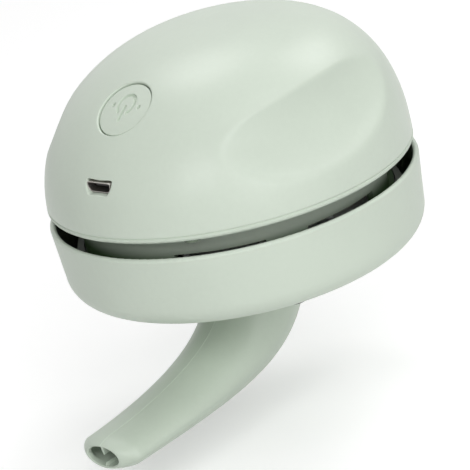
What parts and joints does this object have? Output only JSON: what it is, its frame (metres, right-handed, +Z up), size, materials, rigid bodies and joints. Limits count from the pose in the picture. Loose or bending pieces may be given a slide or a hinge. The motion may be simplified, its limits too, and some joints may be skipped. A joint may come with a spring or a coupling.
{
  "type": "desktop mini vacuum cleaner",
  "caption": "Palm-sized desk vacuum: smooth domed head with thumb scoops, round power button and charging inlet, on a round dust bowl with a curved flat-mouthed nozzle.",
  "frame": {"origin": "centre of the dust bowl's flat underside", "axes": "+Z up through the dome, -Y towards the power button, charging inlet and nozzle mouth, X across the two thumb scoops"},
  "size_m": [0.085, 0.0987, 0.0823],
  "materials": {
    "shell_green": "satin moulded, pale sage green",
    "frame_green": "satin moulded, sage green",
    "bowl_green": "satin moulded, pale sage green",
    "nozzle_green": "satin moulded, sage green",
    "button_green": "satin moulded, pale sage green",
    "filter_plastic": "matte white",
    "filter_cloth": "woven mesh",
    "seal_rubber": "soft black",
    "foot_rubber": "soft dark grey",
    "motor_steel": "zinc plated can",
    "motor_cap_plastic": "black",
    "terminal_brass": "tinned brass",
    "shaft_steel": "ground steel",
    "fan_plastic": "white",
    "cell_wrap": "plain blue shrink wrap",
    "nickel_strip": "nickel strip",
    "board_laminate": "green laminate",
    "chip_plastic": "black",
    "screw_steel": "blackened steel",
    "socket_metal": "bronze tinted plating",
    "tongue_plastic": "black",
    "switch_plastic": "black",
    "led_resin": "clear yellow resin",
    "plunger_plastic": "red",
    "brush_plastic": "dark grey",
    "bristle_nylon": "black nylon bristles"
  },
  "bodies": {
    "housing": {"top_shell": "shell_green", "mid_frame": "frame_green", "fan_cover": "filter_plastic", "filter_frame": "filter_plastic", "filter_mesh": "filter_cloth", "seal_ring": "seal_rubber", "motor_can": "motor_steel", "motor_end_cap": "motor_cap_plastic", "motor_terminals": "terminal_brass", "motor_damper": "seal_rubber", "battery_cell": "cell_wrap", "battery_tabs": "nickel_strip", "main_board": "board_laminate", "board_chips": "chip_plastic", "board_screws": "screw_steel", "usb_shell": "socket_metal", "usb_tongue": "tongue_plastic", "switch_board": "board_laminate", "push_switch": "switch_plastic", "indicator_leds": "led_resin", "frame_screws": "screw_steel"},
    "button": {"power_button": "button_green", "switch_plunger": "plunger_plastic"},
    "rotor": {"motor_shaft": "shaft_steel", "impeller": "fan_plastic"},
    "bowl": {"dust_bowl": "bowl_green", "rubber_feet": "foot_rubber", "brush_carrier": "brush_plastic", "brush_tufts": "bristle_nylon"},
    "nozzle": {"nozzle_half_left": "nozzle_green", "nozzle_half_right": "nozzle_green"}
  },
  "joints": [
    {"name": "button_press", "type": "slide", "parent": "housing", "child": "button", "axis": [0, 0.5515, -0.8342], "range_m": [0, 0.0006], "stiffness_N_per_m": 1500},
    {"name": "rotor_spin", "type": "hinge", "parent": "housing", "child": "rotor", "pos_m": [0, 0, 0.0175], "axis": [0, 0, 1], "continuous": true},
    {"name": "bowl_twist", "type": "hinge", "parent": "housing", "child": "bowl", "pos_m": [0, 0, 0.0085], "axis": [0, 0, 1], "range_deg": [0, 20]},
    {"name": "nozzle_pull", "type": "slide", "parent": "bowl", "child": "nozzle", "axis": [0, 0, -1], "range_m": [0, 0.009]}
  ]
}
